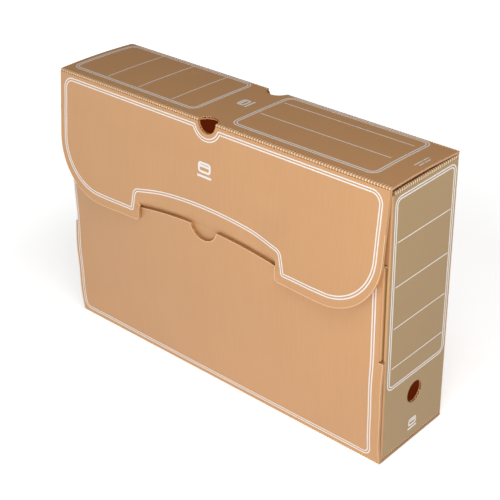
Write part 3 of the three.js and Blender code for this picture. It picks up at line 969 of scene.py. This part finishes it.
for word, side in right_and_left():
    add_flange(word, side)
    add_tab(word, side)
    add_bottom_flap(word, side)
    add_dust_flap(word, side)


# Creases: where a fold crosses the flutes, each flute is pinched off and swells into a small glossy pillow,
# whose ridge is painted pale cream as a highlight; where it runs along them, the sheet just rolls round the
# corner.
RIDGE_TOP = 0.15
RIDGE_FOOT = 0.27
RUN_ON = 2.1


def crease_highlight_finish():
    finish = Finish("crease_ridge_painted_highlight")
    here = finish.node("ShaderNodeTexCoord", output=3)
    mottle = finish.node("ShaderNodeTexNoise", inputs={"Vector": here, "Scale": 260.0, "Detail": 3.0})
    tone = colour_mix(finish, mottle, rgba((0.86, 0.60, 0.36)), rgba((1.0, 0.84, 0.62)))
    pressed = finish.node("ShaderNodeBsdfPrincipled", inputs={
        "Base Color": tone, "Roughness": mottle * 0.15 + 0.20, "Coat Weight": 0.4, "Coat Roughness": 0.15,
    })
    return finish.surface(pressed)


CREASE_HIGHLIGHT = crease_highlight_finish()


def roll_along(node, parts, ends):
    """A round roll the length of one part of the crease, and how to lay it along the whole crease."""
    low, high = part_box(node)
    size = high - low
    axis = max(range(3), key=lambda i: size[i])
    part = size[axis] / parts(size[axis])
    bpy.ops.object.select_all(action="DESELECT")
    bpy.ops.mesh.primitive_cylinder_add(vertices=24, radius=CREASE_R, depth=part, end_fill_type=ends)
    first = (part - size[axis]) / 2

    def along(x, y, z):
        return (low + high) / 2 + Vector([(z + first, x, y), (y, z + first, x), (x, y, z + first)][axis])

    return bpy.context.object, part, along


def tidy_roll(roll, node):
    only(roll)
    bpy.ops.object.mode_set(mode="EDIT")
    bpy.ops.mesh.select_all(action="SELECT")
    bpy.ops.mesh.normals_make_consistent(inside=False)
    bpy.ops.object.mode_set(mode="OBJECT")
    roll.name = roll.data.name = f"{node}_crease"


def plain_crease(node, sheet):
    roll, _, along = roll_along(node, lambda length: 1, "NGON")
    fold_to(roll, along)
    tidy_roll(roll, node)
    roll.data.materials.append(sheet)
    put_on(roll, "tray", "crease", node)


def pillowed_crease(node, body, sheet, pressed, onto=None):
    """One ridge for each flute; onto is the way in which the ridges run on to the panel."""
    roll, part, along = roll_along(node, lambda length: round(length / PITCH), "NOTHING")
    only(roll)
    bpy.ops.object.mode_set(mode="EDIT")
    for share in (-RIDGE_FOOT, -RIDGE_TOP, RIDGE_TOP, RIDGE_FOOT):
        bpy.ops.mesh.select_all(action="SELECT")
        bpy.ops.mesh.bisect(plane_co=(0, 0, part * share), plane_no=(0, 0, 1))
    bpy.ops.object.mode_set(mode="OBJECT")
    for vertex in roll.data.vertices:
        if abs(vertex.co.z) > part * (RIDGE_TOP + RIDGE_FOOT) / 2:
            vertex.co.x *= pressed
            vertex.co.y *= pressed
    roll.data.materials.append(sheet)
    roll.data.materials.append(CREASE_HIGHLIGHT)
    # The ridge tops take the crease's painted highlight.
    for face in roll.data.polygons:
        face.material_index = int(abs(face.center.z) < part * RIDGE_TOP)
    row = roll.modifiers.new("row", "ARRAY")
    row.use_relative_offset = False
    row.use_constant_offset = True
    row.constant_offset_displace = (0, 0, part)
    low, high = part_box(node)
    row.count = round(max(high - low) / part)
    row.use_merge_vertices = True
    row.merge_threshold = 0.02 * MM
    bpy.ops.object.modifier_apply(modifier=row.name)
    bpy.ops.object.mode_set(mode="EDIT")
    bpy.ops.mesh.select_all(action="SELECT")
    bpy.ops.mesh.fill_holes(sides=0)
    bpy.ops.object.mode_set(mode="OBJECT")
    fold_to(roll, along)
    if onto:
        middle = (low + high) / 2
        for vertex in roll.data.vertices:
            vertex.co += onto * max(0, (vertex.co - middle).dot(onto)) * RUN_ON
    tidy_roll(roll, node)
    put_on(roll, body, "crease", node)


for word, side in right_and_left():
    pillowed_crease(f"lid_front_fold_{word}", "lid", LONG_SHEET, 0.93, Vector((0, 1, 0)))
    pillowed_crease(f"lid_rear_fold_{word}", "tray", LONG_SHEET, 0.9)
    pillowed_crease(f"dust_fold_{word}", "tray", END_SHADED_SHEET, 0.93, Vector((0, 0, -1)))
    pillowed_crease(f"bottom_flap_fold_{word}", "tray", END_SHADED_SHEET, 0.93)
    plain_crease(f"back_fold_{word}", LONG_SHEET)
    plain_crease(f"front_fold_{word}", LONG_SHEET)
    plain_crease(f"tab_fold_{word}", LONG_SHEET)
pillowed_crease("bottom_front_fold", "tray", LONG_SHEET, 0.95)
pillowed_crease("bottom_rear_fold", "tray", LONG_SHEET, 0.95)


# Studio: a pale floor that glows a little more the further it is from the box, a key light low on the
# right, a smaller light in front and a wide one overhead.
FLOOR_Z = -0.0002
WORLD_LIGHT = 0.12
bpy.ops.mesh.primitive_plane_add(size=12, location=(0, 0, FLOOR_Z))
floor = bpy.context.object
floor.name = "studio_floor"
floor_finish = Finish("studio_floor_paint")
where = floor_finish.node("ShaderNodeTexCoord", output=3)
sideways = floor_finish.node("ShaderNodeSeparateXYZ", inputs={0: where}, output=0)
share = floor_finish.node("ShaderNodeMapRange", inputs={
    "Value": sideways, "From Min": -0.45, "From Max": 0.35,
})
distance = floor_finish.node("ShaderNodeVectorMath", {"operation": "LENGTH"}, {0: where}, output=1)
further = floor_finish.node("ShaderNodeMapRange", inputs={
    "Value": distance, "From Min": 0.35, "From Max": 1.2,
})
# The floor also glows more on the left, which lightens the box's shadows there.
glow = (1 - share) * 0.10 + further * 0.6 + 0.53
paint = floor_finish.node("ShaderNodeBsdfPrincipled", inputs={
    "Base Color": rgba((0.85, 0.85, 0.85)), "Roughness": 0.7,
    "Emission Color": glow, "Emission Strength": 1.0,
})
floor.data.materials.append(floor_finish.surface(paint))

world = bpy.data.worlds.new("studio")
world.use_nodes = True
world.node_tree.nodes["Background"].inputs["Color"].default_value = (1, 1, 1, 1)
world.node_tree.nodes["Background"].inputs["Strength"].default_value = WORLD_LIGHT
bpy.context.scene.world = world


def soft_box(name, place, aim, width, power):
    bpy.ops.object.light_add(type="AREA", location=place)
    lamp = bpy.context.object
    lamp.name = name
    lamp.data.shape = "SQUARE"
    lamp.data.size = width
    lamp.data.energy = power
    lamp.rotation_mode = "QUATERNION"
    lamp.rotation_quaternion = (Vector(aim) - Vector(place)).to_track_quat("-Z", "Y")


soft_box("key", (0.74, -0.84, 0.33), (0.1, 0, 0.13), 0.45, 2.9)
soft_box("front", (0.30, -0.95, 0.80), (0.1, 0, 0.13), 0.3, 1.3)
soft_box("top", (0.62, -0.5, 1.65), (0, 0, 0.15), 0.9, 14.2)
bpy.context.scene.view_settings.view_transform = "Standard"
